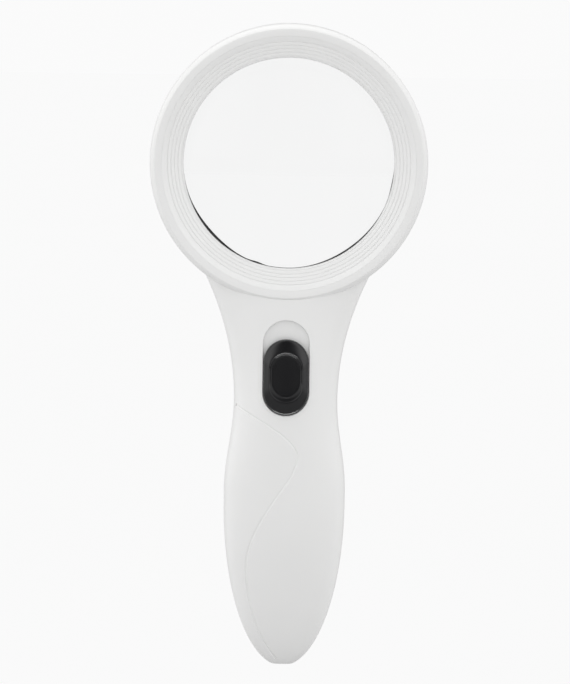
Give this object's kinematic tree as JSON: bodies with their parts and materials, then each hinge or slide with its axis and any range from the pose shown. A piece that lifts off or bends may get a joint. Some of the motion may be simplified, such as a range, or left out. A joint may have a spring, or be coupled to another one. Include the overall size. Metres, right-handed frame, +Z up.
{
  "type": "low vision magnifier",
  "caption": "Illuminated hand magnifier for low-vision reading: a round lens in a stepped white head on a moulded handle with a black thumb slide and a battery bay.",
  "frame": {"origin": "middle of the hand grip, on the parting plane of the shells and on the handle's centre line", "axes": "+Z up the handle to the lens, +X to the right seen from the front, -Y out of the front face with the thumb slide"},
  "size_m": [0.095, 0.0219, 0.2214],
  "materials": {
    "shell_white": "satin moulded white with a very fine even grain",
    "bezel_white": "satin moulded white, slightly smoother than the shells",
    "lens_clear": "polished clear lens",
    "gasket_black": "matt black rubber",
    "window_frosted": "clear ring with a lightly frosted inner face",
    "board_green": "green solder mask",
    "led_epoxy": "clear epoxy over yellow phosphor",
    "lead_red": "red insulated wire",
    "slide_black": "satin black moulded plastic",
    "inner_grey": "plain light grey moulded plastic",
    "switch_metal": "plated sheet steel",
    "pin_brass": "tinned brass pins",
    "chip_black": "black ceramic chips",
    "cell_jacket": "plain metallic jacket with no printing",
    "contact_steel": "nickel-plated spring steel",
    "screw_steel": "zinc-plated steel"
  },
  "bodies": {
    "housing": {"front_shell": "shell_white", "back_shell": "shell_white", "front_bezel": "bezel_white", "lens": "lens_clear", "lens_gasket": "gasket_black", "light_window": "window_frosted", "led_board": "board_green", "leds": "led_epoxy", "led_leads": "lead_red", "switch_case": "switch_metal", "switch_pins": "pin_brass", "switch_board": "board_green", "resistors": "chip_black", "cell_tray": "inner_grey", "cell_left": "cell_jacket", "cell_middle": "cell_jacket", "cell_right": "cell_jacket", "contact_tabs": "contact_steel", "contact_bridges": "contact_steel", "contact_springs": "contact_steel", "battery_leads": "lead_red", "shell_screws": "screw_steel", "board_screws": "screw_steel", "tray_screw": "screw_steel"},
    "slider": {"thumb_slide": "slide_black", "slide_keeper": "inner_grey", "switch_lever": "slide_black"},
    "door": {"battery_door": "shell_white"}
  },
  "joints": [
    {"name": "switch_slide", "type": "slide", "parent": "housing", "child": "slider", "axis": [0, 0, 1], "range_m": [0, 0.0062]},
    {"name": "battery_door_slide", "type": "slide", "parent": "housing", "child": "door", "axis": [0, 0, -1], "range_m": [0, 0.09]}
  ]
}
